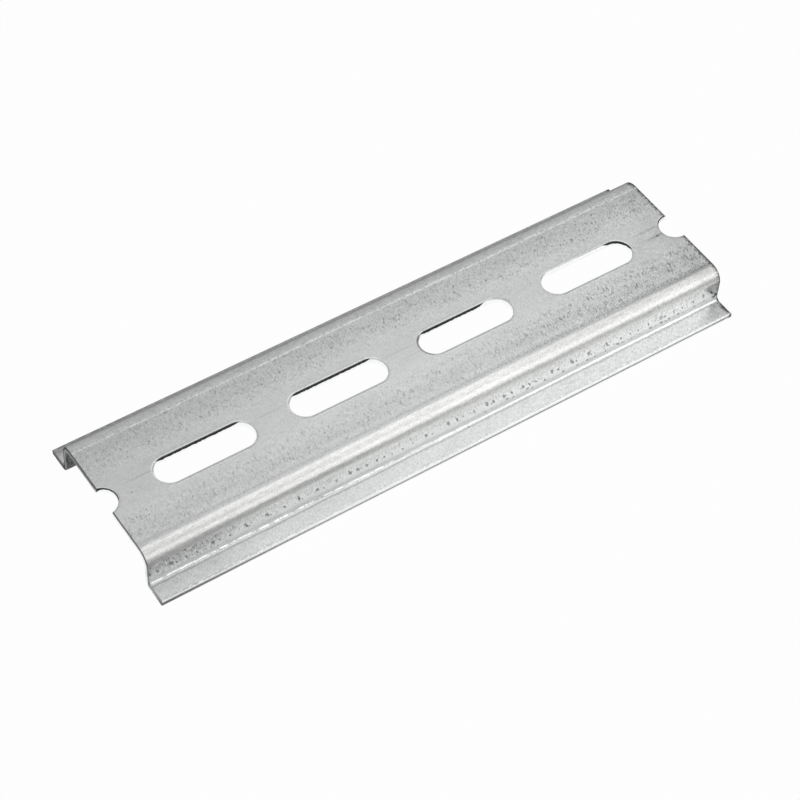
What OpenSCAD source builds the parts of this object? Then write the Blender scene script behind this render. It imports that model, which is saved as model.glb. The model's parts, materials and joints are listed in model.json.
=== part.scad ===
// Slotted top-hat mounting rail, 35 mm wide and 7.5 mm deep, cut to a short length.
//
// One strip of galvanised steel sheet. A row of slots is punched in it, it is rolled into
// a hat section, and the piece is sheared off square with no regard to the slots, so the
// shear runs through a slot at each end and leaves a round-bottomed notch there.
//
// X runs along the rail, Y across it and Z up. The origin is on the floor that the two
// flanges stand on, under the middle of the rail.

/* [Rail] */
// Length of the cut piece
rail_length = 112; // [40:1:500]
// Width over the two mounting flanges
rail_width = 35; // [33:0.5:40]
// Height from the underside of the flanges to the outer face of the web
rail_height = 7.5; // [7.5:0.5:15]
// Width of the raised channel, over the outer faces of its two walls
channel_width = 27; // [22:0.5:28]
// Thickness of the sheet
sheet_thickness = 1; // [0.8:0.1:1.5]

/* [Bends and edges] */
// Inner radius of the bend between the web and a wall
web_bend_radius = 1.6; // [0.4:0.1:2]
// Inner radius of the bend between a wall and its flange
flange_bend_radius = 0.8; // [0.3:0.1:1.5]
// Radius that the slitting rolls leave on the corners of a flange's long edge
slit_edge_radius = 0.2; // [0.05:0.05:0.3]
// Height and width of the bevel where a punch or the shear draws the outer face down
drawn_edge = 0.15; // [0.05:0.05:0.25]

/* [Slots] */
// Length of a slot over its round ends
slot_length = 18; // [8:0.5:22]
// Width of a slot
slot_width = 5.2; // [4:0.1:7]
// Distance from one slot to the next
slot_pitch = 25; // [25:0.5:50]
// Distance of the row's middle bridge from the middle of the cut piece, along the rail
slot_row_shift = -0.4; // [-12:0.1:12]
// Distance of the row from the middle line of the web, across the rail
slot_row_offset = -0.3; // [-2:0.1:2]

/* [Hidden] */
$fn = 96;

web_bend_outer = web_bend_radius + sheet_thickness;
flange_bend_outer = flange_bend_radius + sheet_thickness;
wall_outer = channel_width / 2;
flange_tip = rail_width / 2;

// The flat of the web ends where its bends start, and each wall is flat between its bends.
web_flat_half = wall_outer - web_bend_outer;
wall_flat_low = flange_bend_outer;
wall_flat_high = rail_height - web_bend_outer;

// Slots on each side of the row's middle bridge, enough to run out past both cut ends.
slots_each_side = ceil((rail_length / 2 + abs(slot_row_shift)) / slot_pitch) + 1;
slot_end_radius = slot_width / 2;
slot_straight = slot_length - slot_width;
web_underside = rail_height - sheet_thickness;
// How far a slot's cutter stands out past the face it cuts through.
cutter_overrun = 1;

// Cross-section of the cutter that bevels a cut end, as [along the rail, out of the sheet]
// from the corner of the end and the outer face. Its long side is the bevel.
bevel_cutter = [
    [-2 * drawn_edge, drawn_edge],
    [drawn_edge, -2 * drawn_edge],
    [drawn_edge, drawn_edge],
];

// A quarter of a ring in the first quadrant: one bend of the sheet, seen end on.
module bend(inner_radius) {
    outer_radius = inner_radius + sheet_thickness;
    intersection() {
        difference() {
            circle(r = outer_radius);
            circle(r = inner_radius);
        }
        square(outer_radius);
    }
}

// The flange's strip, from its bend to its rounded slit edge.
module flange_section() {
    start = wall_outer + flange_bend_radius;
    corner = flange_tip - slit_edge_radius;
    translate([start, 0])
        square([corner - start, sheet_thickness]);
    translate([corner, slit_edge_radius])
        square([slit_edge_radius, sheet_thickness - 2 * slit_edge_radius]);
    for (z = [slit_edge_radius, sheet_thickness - slit_edge_radius])
        translate([corner, z])
            circle(r = slit_edge_radius);
}

// One half of the hat, from the middle of the web out to a flange's edge.
module half_section() {
    translate([0, web_underside])
        square([web_flat_half, sheet_thickness]);
    translate([web_flat_half, wall_flat_high])
        bend(web_bend_radius);
    translate([wall_outer - sheet_thickness, wall_flat_low])
        square([sheet_thickness, wall_flat_high - wall_flat_low]);
    translate([wall_outer + flange_bend_radius, wall_flat_low])
        rotate(180)
            bend(flange_bend_radius);
    flange_section();
}

module hat_section() {
    half_section();
    mirror([1, 0])
        half_section();
}

// The straight middle of a slot's cutter. Its upper edges flare by the drawn edge.
module slot_middle() {
    bevel_start = rail_height - drawn_edge;
    flared = slot_end_radius + drawn_edge;
    profile = [
        [-slot_end_radius, web_underside - cutter_overrun],
        [slot_end_radius, web_underside - cutter_overrun],
        [slot_end_radius, bevel_start],
        [flared, rail_height],
        [flared, rail_height + cutter_overrun],
        [-flared, rail_height + cutter_overrun],
        [-flared, rail_height],
        [-slot_end_radius, bevel_start],
    ];
    rotate([90, 0, 90])
        linear_extrude(height = slot_straight, center = true)
            polygon(profile);
}

// One round end of a slot's cutter, flared in the same way.
module slot_end() {
    flared = slot_end_radius + drawn_edge;
    translate([0, 0, web_underside - cutter_overrun])
        cylinder(r = slot_end_radius, h = sheet_thickness + cutter_overrun);
    translate([0, 0, rail_height - drawn_edge])
        cylinder(r1 = slot_end_radius, r2 = flared, h = drawn_edge);
    translate([0, 0, rail_height])
        cylinder(r = flared, h = cutter_overrun);
}

module slot() {
    slot_middle();
    for (side = [-1, 1])
        translate([side * slot_straight / 2, 0, 0])
            slot_end();
}

// The punched row, which runs on past both ends of the cut piece.
module slot_row() {
    for (i = [-slots_each_side : slots_each_side - 1])
        translate([slot_row_shift + (i + 0.5) * slot_pitch, slot_row_offset, 0])
            slot();
}

// The next modules stand in the section's own frame, where x is across the rail, y is up
// and z runs along the rail to a cut end at z = 0.

// Bevels a flat stretch of the end. The stretch runs along x and its outer face looks to y.
module bevel_flat(stretch) {
    rotate([90, 0, 90])
        linear_extrude(height = stretch)
            polygon([for (p = bevel_cutter) [p[1], p[0]]]);
}

// Bevels a bend of the end in the first quadrant. The outer face is on the outside of a
// convex bend and on the inside of a hollow one, which outward says with 1 or -1.
module bevel_bend(face_radius, outward) {
    rotate_extrude(angle = 90)
        polygon([for (p = bevel_cutter) [face_radius + outward * p[1], p[0]]]);
}

module bevel_half_end() {
    flange_start = wall_outer + flange_bend_radius;
    translate([0, rail_height, 0])
        bevel_flat(web_flat_half);
    translate([web_flat_half, wall_flat_high, 0])
        bevel_bend(web_bend_outer, 1);
    translate([wall_outer, wall_flat_high, 0])
        rotate(-90)
            bevel_flat(wall_flat_high - wall_flat_low);
    translate([flange_start, wall_flat_low, 0])
        rotate(180)
            bevel_bend(flange_bend_radius, -1);
    translate([flange_start, sheet_thickness, 0])
        bevel_flat(flange_tip - flange_start + drawn_edge);
}

// Bevels the whole outer line of both cut ends.
module bevel_ends() {
    for (end = [0, 1])
        mirror([0, 0, end])
            translate([0, 0, rail_length / 2])
                for (side = [0, 1])
                    mirror([side, 0, 0])
                        bevel_half_end();
}

module rail() {
    color("gainsboro")
        difference() {
            rotate([90, 0, 90])
                difference() {
                    linear_extrude(height = rail_length, center = true)
                        hat_section();
                    bevel_ends();
                }
            slot_row();
        }
}

rail();
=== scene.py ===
import json
import math

import bmesh
import bpy
from mathutils import Matrix, Vector


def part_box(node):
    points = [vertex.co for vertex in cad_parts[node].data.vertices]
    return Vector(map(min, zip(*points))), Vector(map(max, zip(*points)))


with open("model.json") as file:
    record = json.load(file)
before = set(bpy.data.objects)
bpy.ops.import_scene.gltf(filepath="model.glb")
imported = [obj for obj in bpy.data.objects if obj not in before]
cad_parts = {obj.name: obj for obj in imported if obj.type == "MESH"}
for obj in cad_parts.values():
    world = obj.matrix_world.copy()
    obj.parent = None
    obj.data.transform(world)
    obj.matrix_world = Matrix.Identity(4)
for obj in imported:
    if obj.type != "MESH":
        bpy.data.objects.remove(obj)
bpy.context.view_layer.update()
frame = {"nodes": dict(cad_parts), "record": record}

# ---------------------------------------------------------------------------
# The rail. It is one strip of steel sheet, zinc coated at the mill, then slotted by a
# punch, bent by rolls and sheared to length. The zinc is matt and fine grained, with the
# rolls' marks along every bend, and bare steel shows only on the sheared ends. Its colour
# also carries painted highlights and painted shade on the bends, walls, cuts and right end.
# ---------------------------------------------------------------------------
rail_high = Vector(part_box("rail")[1]) * 1000
half_length = rail_high.x
web_top = rail_high.z
sheet = 1.0
wall_face = 13.5
bend_radius = 1.6 + sheet
web_edge = wall_face - bend_radius
bend_middle = web_top - bend_radius

punched = next(m for m in frame["record"]["mounts"] if m["name"] == "inner_slots")
slot_pitch = punched["dims"]["spacing_x_mm"]
slot_radius = punched["dims"]["hole_r_mm"]
slot_straight = punched["dims"]["slot_length_mm"] - 2 * slot_radius
slot_row = Vector(punched["pos_m"]) * 1000


class Shade:
    """A number that varies over a surface, which Python's operators can work on."""

    def __init__(self, finish, socket):
        self.finish = finish
        self.socket = socket

    def calc(self, operation, *others):
        return self.finish.node("Math", {"operation": operation}, self, *others)

    def __add__(self, other):
        return self.calc("ADD", other)

    def __radd__(self, other):
        return self.calc("ADD", other)

    def __sub__(self, other):
        return self.calc("SUBTRACT", other)

    def __rsub__(self, other):
        return self.finish.node("Math", {"operation": "SUBTRACT"}, other, self)

    def __mul__(self, other):
        return self.calc("MULTIPLY", other)

    def __rmul__(self, other):
        return self.calc("MULTIPLY", other)

    def __truediv__(self, other):
        return self.calc("DIVIDE", other)

    def __abs__(self):
        return self.calc("ABSOLUTE")

    def at_least(self, other):
        return self.calc("MAXIMUM", other)

    def at_most(self, other):
        return self.calc("MINIMUM", other)

    def rise(self, start, end):
        """Goes smoothly from 0 at start to 1 at end."""
        settings = {"interpolation_type": "SMOOTHSTEP"}
        return self.finish.node("MapRange", settings, self, start, end, 0.0, 1.0)

    def band(self, middle, half_width, soft):
        """1 within half_width of the middle, falling to 0 over the soft width."""
        return 1 - abs(self - middle).rise(half_width, half_width + soft)

    def hypot(self, other):
        return (self * self + other * other).calc("SQRT")


class Finish:
    """The node tree of one material, or of the room."""

    def __init__(self, block):
        self.block = block
        block.use_nodes = True
        self.tree = block.node_tree
        self.tree.nodes.clear()

    def node(self, kind, settings, *values, output=0, **named):
        """Adds a ShaderNode of that kind and returns one output of it."""
        added = self.tree.nodes.new("ShaderNode" + kind)
        for key, value in settings.items():
            if key == "stops":
                self.set_stops(added.color_ramp, value)
            else:
                setattr(added, key, value)
        pairs = list(zip(added.inputs, values))
        pairs += [(added.inputs[key.replace("_", " ")], v) for key, v in named.items()]
        for socket, value in pairs:
            if isinstance(value, Shade):
                self.tree.links.new(value.socket, socket)
            else:
                socket.default_value = value
        return Shade(self, added.outputs[output])

    def set_stops(self, ramp, stops):
        """Gives a ramp its stops, each a place from 0 to 1 with its grey."""
        while len(ramp.elements) < len(stops):
            ramp.elements.new(1.0)
        for element, (place, grey) in zip(ramp.elements, sorted(stops.items())):
            element.position = place
            element.color = (grey, grey, grey, 1)

    def part(self, vector, axis):
        """One coordinate of a vector: 0 is x, 1 is y and 2 is z."""
        return self.node("SeparateXYZ", {}, vector, output=axis)

    def finish(self, kind, surface):
        output = self.tree.nodes.new("ShaderNode" + kind)
        self.tree.links.new(surface.socket, output.inputs["Surface"])


class Steel(Finish):
    """The rail's zinc-coated sheet: each method adds its marks to one tone and one height.

    Places are in mm. x runs along the rail, and across from the middle of the web out to
    the tip of each flange, as on the strip before it was bent. depth runs from the outer
    face into the sheet.
    """

    def __init__(self):
        super().__init__(bpy.data.materials.new("galvanised_steel"))
        metres = self.node("TexCoord", {}, output="Object")
        mm = self.node("VectorMath", {"operation": "SCALE"}, metres, Scale=1000.0)
        self.x, self.y, self.z = (self.part(mm, axis) for axis in range(3))
        self.out = abs(self.y)
        self.lay_strip_flat()
        self.find_areas()
        self.find_slots_and_cuts()
        self.fine = self.texture(0.21, 0.50, 3.0, 2.0, 0.6, -0.25)
        self.mottle = self.texture(0.75, 1.05, 11.0, 3.0, 0.6)
        self.waver = 0.5 * self.texture(9.0, 50.0, 41.0, 1.0)
        self.waver = self.waver + 0.15 * self.texture(0.8, 50.0, 43.0, 1.0)
        self.ragged = self.texture(0.3, 0.3, 83.0, 1.0).rise(-0.1, 0.15)
        self.tone = self.rolled_bands()
        self.height = 0.010 * self.fine + 0.008 * self.mottle

    def lay_strip_flat(self):
        past_web = (self.out - web_edge).at_least(0.0)
        above_bend = (self.z - bend_middle).at_least(0.001)
        turn = past_web.calc("ARCTAN2", above_bend)
        down_wall = (bend_middle - self.z).at_least(0.0)
        along_flange = (self.out - wall_face).at_least(0.0)
        self.across = self.out.at_most(web_edge) + bend_radius * turn + down_wall + along_flange
        self.strip_y = self.across * self.y.calc("SIGN")
        self.on_flange = self.out.rise(wall_face + 0.05, wall_face + 0.25)
        depth = bend_radius - past_web.hypot(above_bend)
        self.depth = depth * (1 - self.on_flange) + (sheet - self.z) * self.on_flange

    def find_areas(self):
        """Sets what is 1 inside an area of the rail and 0 outside it."""
        self.is_front = self.y.rise(0.5, -0.5)
        self.right = self.x.rise(0.0, 54.0)
        self.left = self.x.rise(-30.0, -52.0)
        self.on_web = self.across.rise(web_edge + 0.3, web_edge - 0.3)
        self.on_bend = self.across.band(12.6, 1.5, 0.4)
        self.on_wall = self.across.rise(14.2, 15.0) * self.across.rise(18.4, 17.8)

    def find_slots_and_cuts(self):
        """Sets the distances from the slots and the ends, and where the sheet was cut."""
        half_pitch = slot_pitch / 2
        beside_slot = (self.x - (slot_row.x + half_pitch)).calc("WRAP", -half_pitch, half_pitch)
        self.past_straight = (abs(beside_slot) - slot_straight / 2).at_least(0.0)
        self.from_row = self.y - slot_row.y
        self.from_slot = self.past_straight.hypot(self.from_row) - slot_radius
        self.from_end = half_length - abs(self.x)
        facing = self.node("TexCoord", {}, output="Normal")
        facing_along = abs(self.part(facing, 0))
        facing_up = abs(self.part(facing, 2))
        self.on_end = facing_along.rise(0.45, 0.75) * self.from_end.rise(0.6, 0.4)
        upright = (1 - facing_up).rise(0.10, 0.32)
        self.in_slot = upright * self.out.rise(4.0, 3.6) * self.z.rise(6.2, 6.4) * (1 - self.on_end)
        self.cut = (self.in_slot + self.on_end).at_most(1.0)

    def texture(self, length, width, shift=0.0, detail=2.0, rough=0.5, lean=0.0):
        """Noise about 0 whose marks are that many mm along the rail and across it."""
        leaning = (self.x + lean * self.strip_y) / length
        place = self.node("CombineXYZ", {}, leaning, self.strip_y / width, shift)
        noise = self.node(
            "TexNoise", {}, Vector=place, Scale=1.0, Detail=detail, Roughness=rough
        )
        return noise - 0.5

    def profile(self, stops):
        """A tone for each place across the strip, given in mm from its middle."""
        reach = 25.0
        ramp = {place / reach: grey for place, grey in stops.items()}
        return self.node("ValToRGB", {"stops": ramp}, self.across / reach)

    def dull(self, share):
        self.tone = self.tone * (1 - share)

    def brighten(self, share):
        self.tone = self.tone * (1 + share)

    def lift(self, amount):
        self.height = self.height + amount

    def rolled_bands(self):
        """Tone across the strip: bright and dull bands along the bends, partly left by the rolls
        and partly painted highlight and painted shade.
        """
        # Painted highlights on the front bend and on the bright lower front wall; painted shade in
        # the dark band low on the front bend and on the dark back bend.
        front = self.profile(
            {0.0: 0.775, 1.5: 0.785, 3.5: 0.81, 5.5: 0.80, 6.6: 0.79, 7.5: 0.75, 8.6: 0.74,
             9.4: 0.79, 10.1: 0.775, 11.0: 0.69, 11.4: 0.78, 12.0: 0.78, 12.25: 0.66,
             12.5: 0.67, 13.1: 0.83, 13.45: 0.83, 13.85: 0.69, 14.5: 0.80, 15.1: 0.77,
             16.0: 0.83, 16.7: 0.97, 17.6: 1.0, 18.5: 1.0, 18.8: 0.96, 19.15: 0.72, 19.5: 0.66,
             20.1: 0.69, 21.8: 0.72, 22.4: 0.74, 22.7: 0.92, 23.1: 0.95}
        )
        back = self.profile(
            {0.0: 0.77, 2.0: 0.765, 5.0: 0.785, 6.5: 0.745, 8.5: 0.70, 10.0: 0.69, 11.0: 0.79,
             11.8: 0.85, 12.6: 0.83, 13.4: 0.40, 14.4: 0.58, 15.5: 0.76, 18.5: 0.80, 21.0: 0.70,
             22.0: 0.45}
        )
        return front * self.is_front + back * (1 - self.is_front)

    def add_grain(self):
        """Short strokes across the strip, coarser in a band on each side of the slots."""
        at_back = self.across.rise(3.5, 6.5) * self.on_web * (1 - self.is_front)
        worked = self.across.band(7.3, 1.6, 1.8) * (0.6 + 0.8 * self.right)
        coarse = 0.55 + 0.45 * self.across.rise(2.0, 6.0) + 0.5 * self.right
        coarse = coarse * (1 - 0.25 * self.on_bend)
        clouds = self.texture(7.0, 4.0, 23.0, 2.0)
        patches = self.texture(2.4, 1.7, 29.0, 2.0).rise(-0.14, 0.12)
        strokes = self.texture(0.34, 1.1, 37.0, 3.0, 0.65, -0.15).rise(0.03, 0.15)
        flecks = self.texture(0.50, 0.60, 31.0, 3.0, 0.6, -0.3).rise(0.04, 0.18)
        strokes = strokes * (0.3 + 0.7 * patches) * (worked * self.is_front + 0.5 * at_back)
        flecks = flecks * (0.25 + 0.75 * patches) * (0.35 + worked + 0.7 * at_back)
        self.brighten((0.75 * self.fine + 0.40 * self.mottle) * coarse + 0.14 * clouds)
        self.tone = self.tone * (1.07 - 0.60 * strokes)
        self.dull(0.30 * flecks)
        to_right = 0.025 * self.x.rise(5.0, 20.0) + 0.05 * self.x.rise(36.0, 50.0)
        self.dull(self.on_web * self.is_front * to_right)
        self.lift(-0.008 * strokes)

    def add_roll_lines(self):
        """A light, wavy line on the back of the web and dark speckled ones on its front."""
        wavy = self.across + self.waver
        gaps = self.texture(0.9, 50.0, 47.0, 2.0)
        light_line = wavy.band(10.45, 0.07, 0.12) * gaps.rise(-0.12, 0.05)
        light_line = light_line * (0.65 + 0.35 * self.x.rise(-50.0, 0.0))
        self.brighten(0.32 * light_line * (1 - self.is_front))
        speckle = self.texture(0.40, 0.20, 53.0, 1.0).rise(-0.04, 0.10)
        dark_lines = self.across.band(10.25, 0.3, 0.3) * speckle
        dark_lines = dark_lines * (0.35 + 1.15 * self.x.rise(-20.0, 50.0))
        dark_edge = wavy.band(10.8, 0.12, 0.12) * (0.5 + 1.0 * self.right)
        self.dull((0.30 * dark_lines + 0.14 * dark_edge) * self.is_front)
        self.lift(0.010 * self.across.band(10.5, 0.10, 0.25))

    def rub_bends(self):
        """Fine lines drawn along the bends, which are duller in places."""
        drawn = self.texture(3.0, 0.20, 59.0, 2.0) * self.on_bend
        rubbed = self.texture(1.0, 0.30, 60.0, 3.0, 0.6, 0.3) * self.on_bend
        self.brighten(0.38 * drawn + 0.50 * rubbed)
        self.lift(0.010 * rubbed)
        for share, band, reach in (
            (0.13, (11.9, 0.8, 0.4), self.x.rise(5.0, 30.0)),
            (0.18, (10.9, 0.35, 0.3), self.x.rise(36.0, 52.0)),
            (0.16, (13.7, 0.35, 0.3), self.x.rise(5.0, -22.0) * self.x.rise(-54.0, -44.0)),
        ):
            self.dull(share * self.across.band(*band) * self.is_front * reach)

    def from_dents(self, row, spacing, shift, width, length):
        """How far from the nearest dent of a row, with 1 at its rim; each has its own size."""
        place = (self.x + 0.35 * (self.z - row)) / spacing + shift
        options = {"voronoi_dimensions": "1D"}
        apart = self.node("TexVoronoi", options, W=place, Scale=1.0) * spacing
        chance = self.part(self.node("TexVoronoi", options, W=place, Scale=1.0, output=1), 0)
        level = self.z - row - 0.7 * (chance - 0.5)
        size = (0.45 + 0.85 * chance) * (1 + 0.35 * self.left)
        return (apart / width).hypot(level / length) / size + 2.6 * self.fine + 1.2 * self.mottle

    def dent_walls(self):
        """Strokes down the walls, dents in two rows, darkened partly as pits and partly as painted
        shade and ringed by a faint painted highlight, and dull streaks above them.
        """
        x, z, across, on_wall = self.x, self.z, self.across, self.on_wall
        strokes = self.texture(0.30, 1.5, 61.0, 3.0, 0.65, 0.25) * on_wall
        self.brighten((1.15 + 0.5 * self.left) * strokes)
        upper_row = self.from_dents(3.5, 1.9, 3.0, 0.25, 0.50)
        lower_row = self.from_dents(2.15, 1.9, 7.7, 0.26, 0.26) + x.rise(8.0, -8.0) * 9.0
        from_dent = upper_row.at_most(lower_row)
        rows = abs(z - 3.4).rise(0.9, 0.3).at_least(abs(z - 2.1).rise(0.45, 0.2) * self.right)
        pits = self.texture(0.55, 0.80, 63.0, 3.0, 0.7, 0.35).rise(0.07, 0.17) * rows
        dents = (from_dent.rise(1.2, 0.5) + 0.8 * pits).at_most(1.0) * on_wall
        self.dull(0.60 * dents)
        # A faint painted highlight in a ring round each dent.
        self.brighten(0.08 * from_dent.band(1.9, 0.3, 0.5) * on_wall)
        streaks = self.texture(0.40, 0.9, 67.0, 2.0, 0.6, 0.2).rise(0.02, 0.14)
        self.dull(0.36 * streaks * across.band(15.0, 0.3, 0.4) * (0.5 + 1.2 * self.left))
        specks = self.texture(0.42, 0.50, 69.0, 2.0, 0.6) * on_wall * across.rise(15.4, 16.0)
        self.brighten((0.7 + 0.9 * x.rise(-10.0, 40.0)) * specks)
        self.brighten(0.05 * x.band(-4.0, 29.0, 12.0) * on_wall * across.rise(15.3, 15.9))
        # Painted shade: the lower walls darker towards the left end.
        self.dull(0.22 * across.rise(14.8, 15.3) * across.rise(18.3, 17.0) * x.rise(-34.0, -50.0))
        self.lift(0.02 * strokes - 0.05 * dents + 0.02 * specks)

    def line_flanges(self):
        """A painted highlight, broken in places, in each corner with a painted dark line beside it,
        a painted highlight along each tip and a painted contact shadow along the foot of the front
        tip.
        """
        unsteady = self.texture(1.1, 0.9, 77.0, 2.0) * (0.3 + 0.7 * self.left)
        wavy = self.across + 0.8 * self.waver + 0.5 * unsteady
        glints = self.texture(0.9, 50.0, 71.0, 3.0, 0.65).rise(-0.16, 0.10)
        toward_left = self.x.rise(15.0, -30.0)
        self.dull((0.05 + 0.24 * toward_left) * wavy.band(18.85, 0.22, 0.16) * (1 - glints))
        self.brighten(0.12 * wavy.band(18.7, 0.10, 0.14) * glints)
        self.dull((0.20 + 0.06 * toward_left) * wavy.band(19.55, 0.10, 0.18))
        self.lift(0.10 * wavy.band(18.85, 0.04, 0.36) * glints * (0.1 + 0.5 * toward_left))
        tip_glints = self.texture(0.8, 0.4, 73.0, 2.0).rise(-0.05, 0.15)
        self.brighten(0.20 * self.across.band(22.45, 0.20, 0.25) * (tip_glints - 0.3))
        self.dull(0.2 * self.left * self.across.band(22.6, 0.1, 0.15) * (1 - tip_glints))
        # Painted contact shadow along the foot of the front tip.
        tip_contact_shadow = self.across.band(23.38, 0.10, 0.12) * self.is_front
        self.dull(0.82 * tip_contact_shadow * (0.8 + 0.2 * self.ragged))

    def mark_slots(self):
        """A darker band beside each long edge with a lighter one beyond it on the near side, and a
        light rim at the ends.
        """
        at_side = self.past_straight.rise(1.0, 0.2)
        near_side = at_side * self.from_row.rise(0.0, -2.0)
        far_side = at_side * self.from_row.rise(0.0, 2.0)
        self.dull(0.13 * near_side * self.from_slot.band(0.30, 0.10, 0.12))
        self.brighten(0.09 * near_side * self.from_slot.band(0.62, 0.06, 0.12))
        self.dull(0.07 * far_side * self.from_slot.band(0.45, 0.20, 0.30))
        self.brighten(0.07 * self.from_slot.band(0.22, 0.03, 0.10) * (1 - at_side))
        self.lift(-0.03 * self.from_slot.rise(0.5, 0.0))

    def scuff_slot(self):
        """Dark crescents at the two ends of the slot right of the middle."""
        at_left = self.x.band(2.7, 1.2, 0.8) * self.out.rise(4.0, 2.0)
        self.dull(0.60 * self.from_slot.band(0.16, 0.12, 0.12) * at_left)
        at_right = self.x.band(20.6, 0.9, 0.8) * self.out.rise(4.0, 3.0)
        at_right = at_right * self.from_row.rise(0.0, 0.6)
        self.dull(0.32 * self.from_slot.band(0.26, 0.08, 0.12) * at_right)

    def dull_depth(self):
        """How deep the dark part of a cut goes, in mm, partly sheared metal and partly painted
        shade: each slot and end has its own.
        """
        taper = self.past_straight.rise(1.6, 0.0)
        is_far = self.from_row.rise(0.4, 1.4)
        in_slots = 0.60 * is_far * taper * self.x.band(-20.0, 36.0, 2.0)
        in_slots = in_slots + 0.08 * is_far * self.x.band(41.0, 3.0, 3.0)
        last_slot = 0.50 * self.x.band(45.4, 1.6, 1.6) * self.from_row.rise(-1.2, 0.6)
        in_ends = 0.26 * self.from_row.rise(-1.6, -0.4) * self.from_end.rise(6.0, 5.0)
        in_slots = in_slots + last_slot + in_ends
        return in_slots * self.in_slot + (0.42 + 0.5 * self.on_flange) * self.on_end

    def shade_cuts(self):
        """A cut is dark next to the outer face, partly dull sheared metal and partly painted shade,
        and bare bright metal below that.
        """
        burr = self.texture(0.6, 0.6, 79.0, 2.0)
        self.dark_cut = (self.dull_depth() * (1 + 0.8 * burr) - self.depth).rise(0.0, 0.12)
        darkness = 0.97 * self.in_slot + (0.74 - 0.22 * self.on_flange) * self.on_end
        # Painted shade along the top of each far slot wall.
        lip_shade = self.in_slot * self.from_row.rise(0.4, 1.4) * self.depth.rise(0.20, 0.06)
        cut_tone = (1 - self.dark_cut * darkness) * (1 - 0.40 * lip_shade)
        self.tone = self.tone * (1 - self.cut) + cut_tone.at_least(0.03) * self.cut
        # Painted shade on the inner faces of the walls below the web.
        inner_wall_shade = self.depth.rise(0.80, 0.95) * (1 - self.on_flange) * (1 - self.cut)
        self.dull(0.45 * inner_wall_shade * self.z.rise(6.0, 5.0))

    def blacken_end(self):
        """A dark, speckled line beside the cut at the right end."""
        specked = self.texture(0.45, 0.40, 85.0, 2.0).rise(-0.10, 0.10)
        line = self.from_end.rise(0.50, 0.25) * (0.45 + 0.55 * self.ragged)
        line = line + 0.8 * self.from_end.rise(1.0, 0.45) * specked
        self.dull(0.78 * line.at_most(1.0) * self.x.rise(0.0, 10.0) * (1 - self.cut))

    def spot(self, at_x, at_y, long, wide, lean=0.0):
        """A soft oval spot, at that place on the flat strip."""
        away = (self.x - at_x + lean * (self.strip_y - at_y)) / long
        return away.hypot((self.strip_y - at_y) / wide).rise(1.35, 0.55)

    def knock(self):
        """Dark spots, most at the right end, and painted shade where the shear pinched the front
        wall there.
        """
        for share, *place in (
            (0.28, 51.4, -0.75, 1.9, 0.30),
            (0.70, 51.8, -0.78, 0.22, 0.18),
            (0.20, 50.6, 1.15, 2.6, 0.28),
            # Painted shadow: the two dark spots in the corner of the front wall and flange at the
            # right end.
            (0.90, 55.25, -17.65, 0.30, 0.52, -0.3),
            (0.85, 55.85, -19.05, 0.28, 0.28),
            (0.50, 55.45, -21.0, 0.38, 0.85),
            (0.50, 55.6, 11.8, 0.50, 1.0),
            (0.45, 3.5, -19.45, 0.20, 0.17),
            (0.14, -49.2, 0.98, 2.6, 0.22),
            (0.26, -51.6, -1.1, 0.26, 0.24),
            (0.10, -25.0, 1.15, 3.0, 0.18),
            (0.13, -0.6, 1.0, 3.0, 0.14),
            (0.08, 0.5, -0.9, 2.0, 0.12),
        ):
            self.dull(share * self.spot(*place))
        # Painted shade where the shear pinched the front wall at the right end.
        on_front_wall = self.on_wall * self.is_front
        pinched = (13.9 + 1.02 * (self.x - 51.6) + self.strip_y) * on_front_wall
        self.dull(0.52 * pinched.rise(-0.2, 0.6) * self.x.rise(50.6, 52.6))
        self.dull(0.55 * pinched.band(0.28, 0.12, 0.30) * self.x.rise(52.5, 54.5) * on_front_wall)

    def complete(self):
        # A warm tint painted on the front bend, where its highlight lies.
        highlight_warmth = 0.017 * self.on_bend * self.is_front
        red, blue = self.tone * (0.982 + highlight_warmth), self.tone * 0.989
        rough = 0.38 + 0.20 * self.mottle + 0.1 * self.on_end
        rough = rough + (0.35 * self.dark_cut - 0.08) * self.in_slot
        surface = self.node(
            "BsdfPrincipled",
            {},
            Base_Color=self.node("CombineColor", {}, red, self.tone, blue),
            Metallic=1.0,
            Roughness=rough.at_least(0.2),
            Normal=self.node("Bump", {}, Strength=1.0, Distance=0.001, Height=self.height),
        )
        self.finish("OutputMaterial", surface)
        return self.block


def galvanised_steel():
    steel = Steel()
    steel.add_grain()
    steel.add_roll_lines()
    steel.rub_bends()
    steel.dent_walls()
    steel.line_flanges()
    steel.mark_slots()
    steel.shade_cuts()
    steel.blacken_end()
    steel.scuff_slot()
    steel.knock()
    return steel.complete()


rail = frame["nodes"]["rail"]
rail.material_slots[0].material = galvanised_steel()

# ---------------------------------------------------------------------------
# The studio. The rail lies on white paper under three soft boxes, in a room that is
# bright above the front of the rail and dim behind it, so that the bends stand out.
# ---------------------------------------------------------------------------
def white_rays(stage, in_reflections):
    """1 for the rays that see plain white, in reflections only where that is 1 too."""
    path = stage.tree.nodes.new("ShaderNodeLightPath")
    camera, glossy, glass = (
        Shade(stage, path.outputs["Is " + kind + " Ray"])
        for kind in ("Camera", "Glossy", "Transmission")
    )
    return camera + glass + glossy * in_reflections


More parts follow.
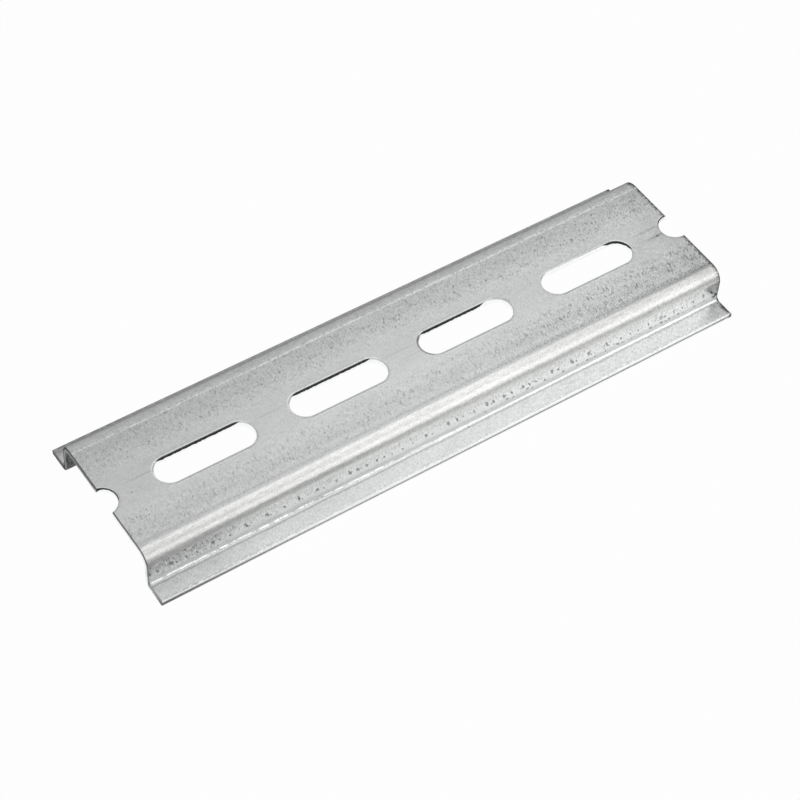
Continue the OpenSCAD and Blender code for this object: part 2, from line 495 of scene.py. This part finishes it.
def paper():
    stage = Finish(bpy.data.materials.new("paper"))
    place = stage.node("TexCoord", {}, output="Object")
    away, along = stage.part(place, 1), stage.part(place, 0)
    # In reflections the paper glows white as painted light in front of the right part of the rail
    # and under it, and stays dark as painted shade behind it and under the left end.
    shaded_end = away.rise(0.004, 0.008) * along.rise(-0.044, -0.050)
    under = away.rise(-0.018, -0.014) * (1 - shaded_end)
    reflected_glow_in_front = away.rise(0.018, 0.013) * along.rise(-0.06, -0.02).at_least(under)
    sheet_of_paper = stage.node("BsdfDiffuse", {}, (0.7, 0.7, 0.7, 1))
    white = stage.node("Emission", {}, (1, 1, 1, 1), 1.0)
    share = 0.98 * white_rays(stage, (0.80 + 0.20 * under) * reflected_glow_in_front)
    stage.finish("OutputMaterial", stage.node("MixShader", {}, share, sheet_of_paper, white))
    return stage.block


bed = bmesh.new()
bmesh.ops.create_grid(bed, x_segments=1, y_segments=1, size=3.0)
floor_mesh = bpy.data.meshes.new("floor")
bed.to_mesh(floor_mesh)
bed.free()
floor = bpy.data.objects.new("floor", floor_mesh)
floor_mesh.materials.append(paper())
bpy.context.scene.collection.objects.link(floor)

bpy.context.scene.world = bpy.data.worlds.new("studio")
room = Finish(bpy.context.scene.world)
way = room.node("TexCoord", {}, output="Generated")
front = room.part(way, 1).rise(0.35, -0.35)
height_of_way = room.part(way, 2)
raised = height_of_way.rise(0.1, 0.45) * (1 - height_of_way.rise(0.6, 0.95))
grey = room.node("Background", {}, (1, 1, 1, 1), 0.2)
white = room.node("Background", {}, (1, 1, 1, 1), 1.0)
share = white_rays(room, front * raised + 0.32 * (1 - front))
room.finish("OutputWorld", room.node("MixShader", {}, share, grey, white))


def soft_box(name, bearing, elevation, luminance):
    """A soft box half a metre wide, a metre from the rail; bearing 0 is in front of it."""
    turn, lift = math.radians(bearing), math.radians(elevation)
    place = Vector(
        (math.sin(turn) * math.cos(lift), -math.cos(turn) * math.cos(lift), math.sin(lift))
    )
    data = bpy.data.lights.new(name, "AREA")
    data.size = 0.5
    data.energy = luminance * data.size**2 * math.pi
    lamp = bpy.data.objects.new(name, data)
    lamp.matrix_world = place.to_track_quat("Z", "Y").to_matrix().to_4x4()
    lamp.location = place
    lamp.visible_camera = False
    bpy.context.scene.collection.objects.link(lamp)


soft_box("key", 45, 40, 1.25)
soft_box("top_front", 60, 65, 0.66)
soft_box("top_back", 120, 65, 1.08)

lens = bpy.data.cameras.new("camera")
lens.lens = 104.14
lens.sensor_width = 36.0
camera = bpy.data.objects.new("camera", lens)
camera_place = (-0.146727, -0.197782, 0.294754)
azimuth, elevation, roll = (math.radians(angle) for angle in (-36.51, 50.54, 3.56))
camera.matrix_world = (
    Matrix.Translation(camera_place)
    @ Matrix.Rotation(azimuth, 4, "Z")
    @ Matrix.Rotation(math.pi / 2 - elevation, 4, "X")
    @ Matrix.Rotation(roll, 4, "Z")
)
bpy.context.scene.collection.objects.link(camera)
bpy.context.scene.camera = camera
bpy.context.scene.view_settings.view_transform = "Standard"
